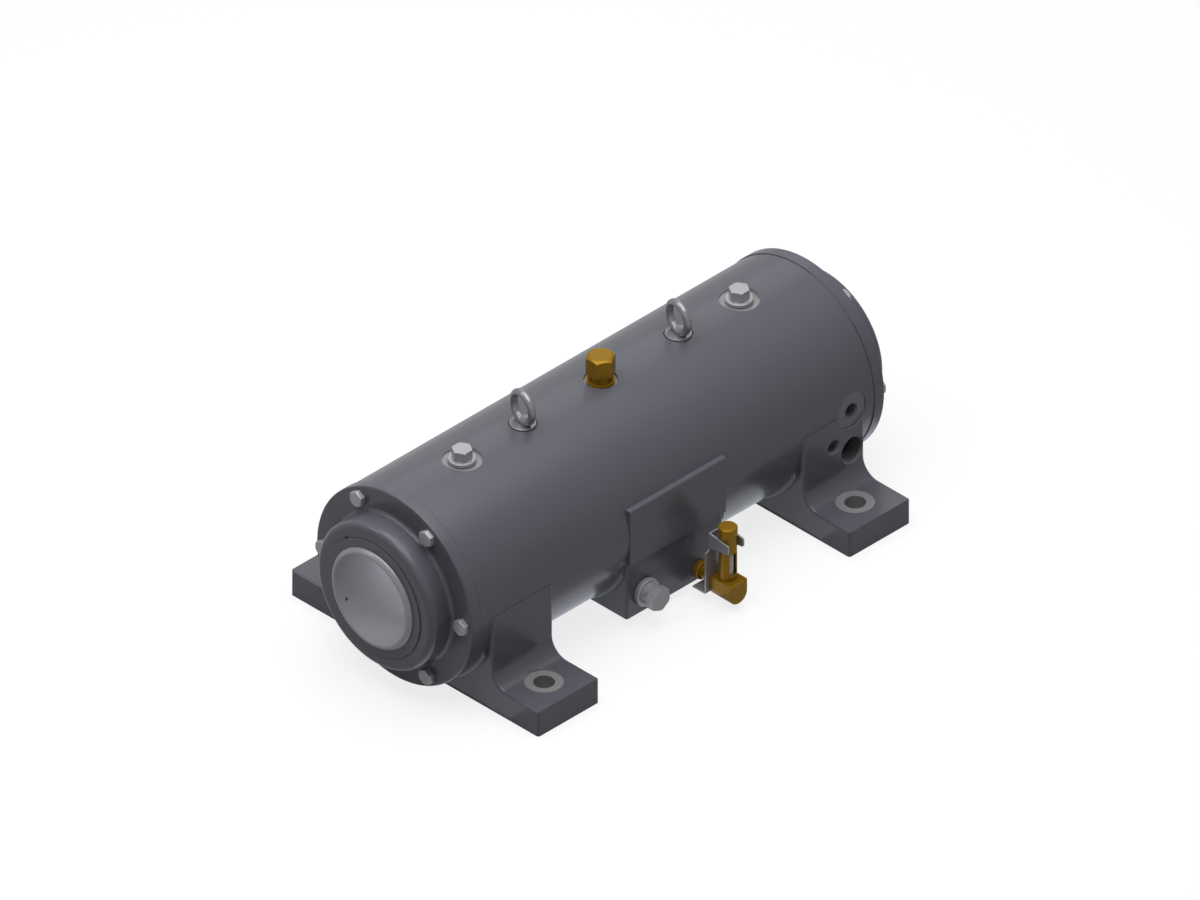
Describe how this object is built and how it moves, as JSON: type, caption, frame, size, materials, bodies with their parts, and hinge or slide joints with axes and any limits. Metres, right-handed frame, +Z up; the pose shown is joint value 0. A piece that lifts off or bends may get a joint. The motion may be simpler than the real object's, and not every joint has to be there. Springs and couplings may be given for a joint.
{
  "type": "bearing housing",
  "caption": "Cylindrical cast bearing housing on two feet, with end covers, labyrinth seals, lifting eyes, breather, filler and drain plugs, and a side oil gauge.",
  "frame": {"origin": "centre of the foot bolt pattern, on the base plane", "axes": "+X along the shaft towards the rear end, +Z up, drain plug and oil gauge on the -Y side"},
  "size_m": [0.654, 0.35, 0.2606],
  "materials": {
    "painted_casting": "satin paint over cast iron",
    "zinc_steel": "zinc plated",
    "machined_steel": "turned and ground",
    "bearing_steel": "ground and polished",
    "cage_brass": "machined",
    "brass": "satin",
    "sheet_steel": "plated sheet",
    "aluminium": "soft sealing washer",
    "glass": "clear",
    "rubber": "matt",
    "gasket": null
  },
  "bodies": {
    "housing": {"breather_body": "brass", "breather_cap": "brass", "breather_washer": "aluminium", "drain_plug": "zinc_steel", "drain_washer": "aluminium", "front_bearing_outer_ring": "bearing_steel", "front_cover": "painted_casting", "front_cover_bolts": "zinc_steel", "front_cover_gasket": "gasket", "front_eye_bolt": "zinc_steel", "front_filler_plug": "zinc_steel", "front_filler_washer": "aluminium", "front_lip_seal": "rubber", "gauge_bracket": "sheet_steel", "gauge_cap": "brass", "gauge_elbow": "brass", "gauge_glass": "glass", "gauge_guard_tube": "brass", "gauge_seals": "rubber", "gauge_union": "brass", "housing_casting": "painted_casting", "rear_bearing_outer_ring": "bearing_steel", "rear_cover": "painted_casting", "rear_cover_bolts": "zinc_steel", "rear_cover_gasket": "gasket", "rear_eye_bolt": "zinc_steel", "rear_filler_plug": "zinc_steel", "rear_filler_washer": "aluminium", "rear_lip_seal": "rubber"},
    "front_rotor": {"front_seal_sleeve": "machined_steel", "front_labyrinth_ring": "painted_casting", "front_grub_screw": "machined_steel", "front_o_ring": "rubber", "front_bearing_inner_ring": "bearing_steel"},
    "front_cage": {"front_bearing_cage": "cage_brass", "front_bearing_balls": "bearing_steel"},
    "rear_rotor": {"rear_seal_sleeve": "machined_steel", "rear_labyrinth_ring": "painted_casting", "rear_grub_screw": "machined_steel", "rear_o_ring": "rubber", "rear_bearing_inner_ring": "bearing_steel"},
    "rear_cage": {"rear_bearing_cage": "cage_brass", "rear_bearing_rollers": "bearing_steel"}
  },
  "joints": [
    {"name": "front_shaft_turn", "type": "hinge", "parent": "housing", "child": "front_rotor", "pos_m": [-0.223, 0, 0.112], "axis": [1, 0, 0], "continuous": true},
    {"name": "front_cage_turn", "type": "hinge", "parent": "housing", "child": "front_cage", "pos_m": [-0.223, 0, 0.112], "axis": [1, 0, 0], "continuous": true},
    {"name": "rear_shaft_turn", "type": "hinge", "parent": "housing", "child": "rear_rotor", "pos_m": [0.223, 0, 0.112], "axis": [1, 0, 0], "continuous": true},
    {"name": "rear_cage_turn", "type": "hinge", "parent": "housing", "child": "rear_cage", "pos_m": [0.223, 0, 0.112], "axis": [1, 0, 0], "continuous": true}
  ],
  "couplings": [
    {"joint": "front_cage_turn", "follows": "front_shaft_turn", "ratio": 0.40929},
    {"joint": "rear_cage_turn", "follows": "rear_shaft_turn", "ratio": 0.42199}
  ]
}
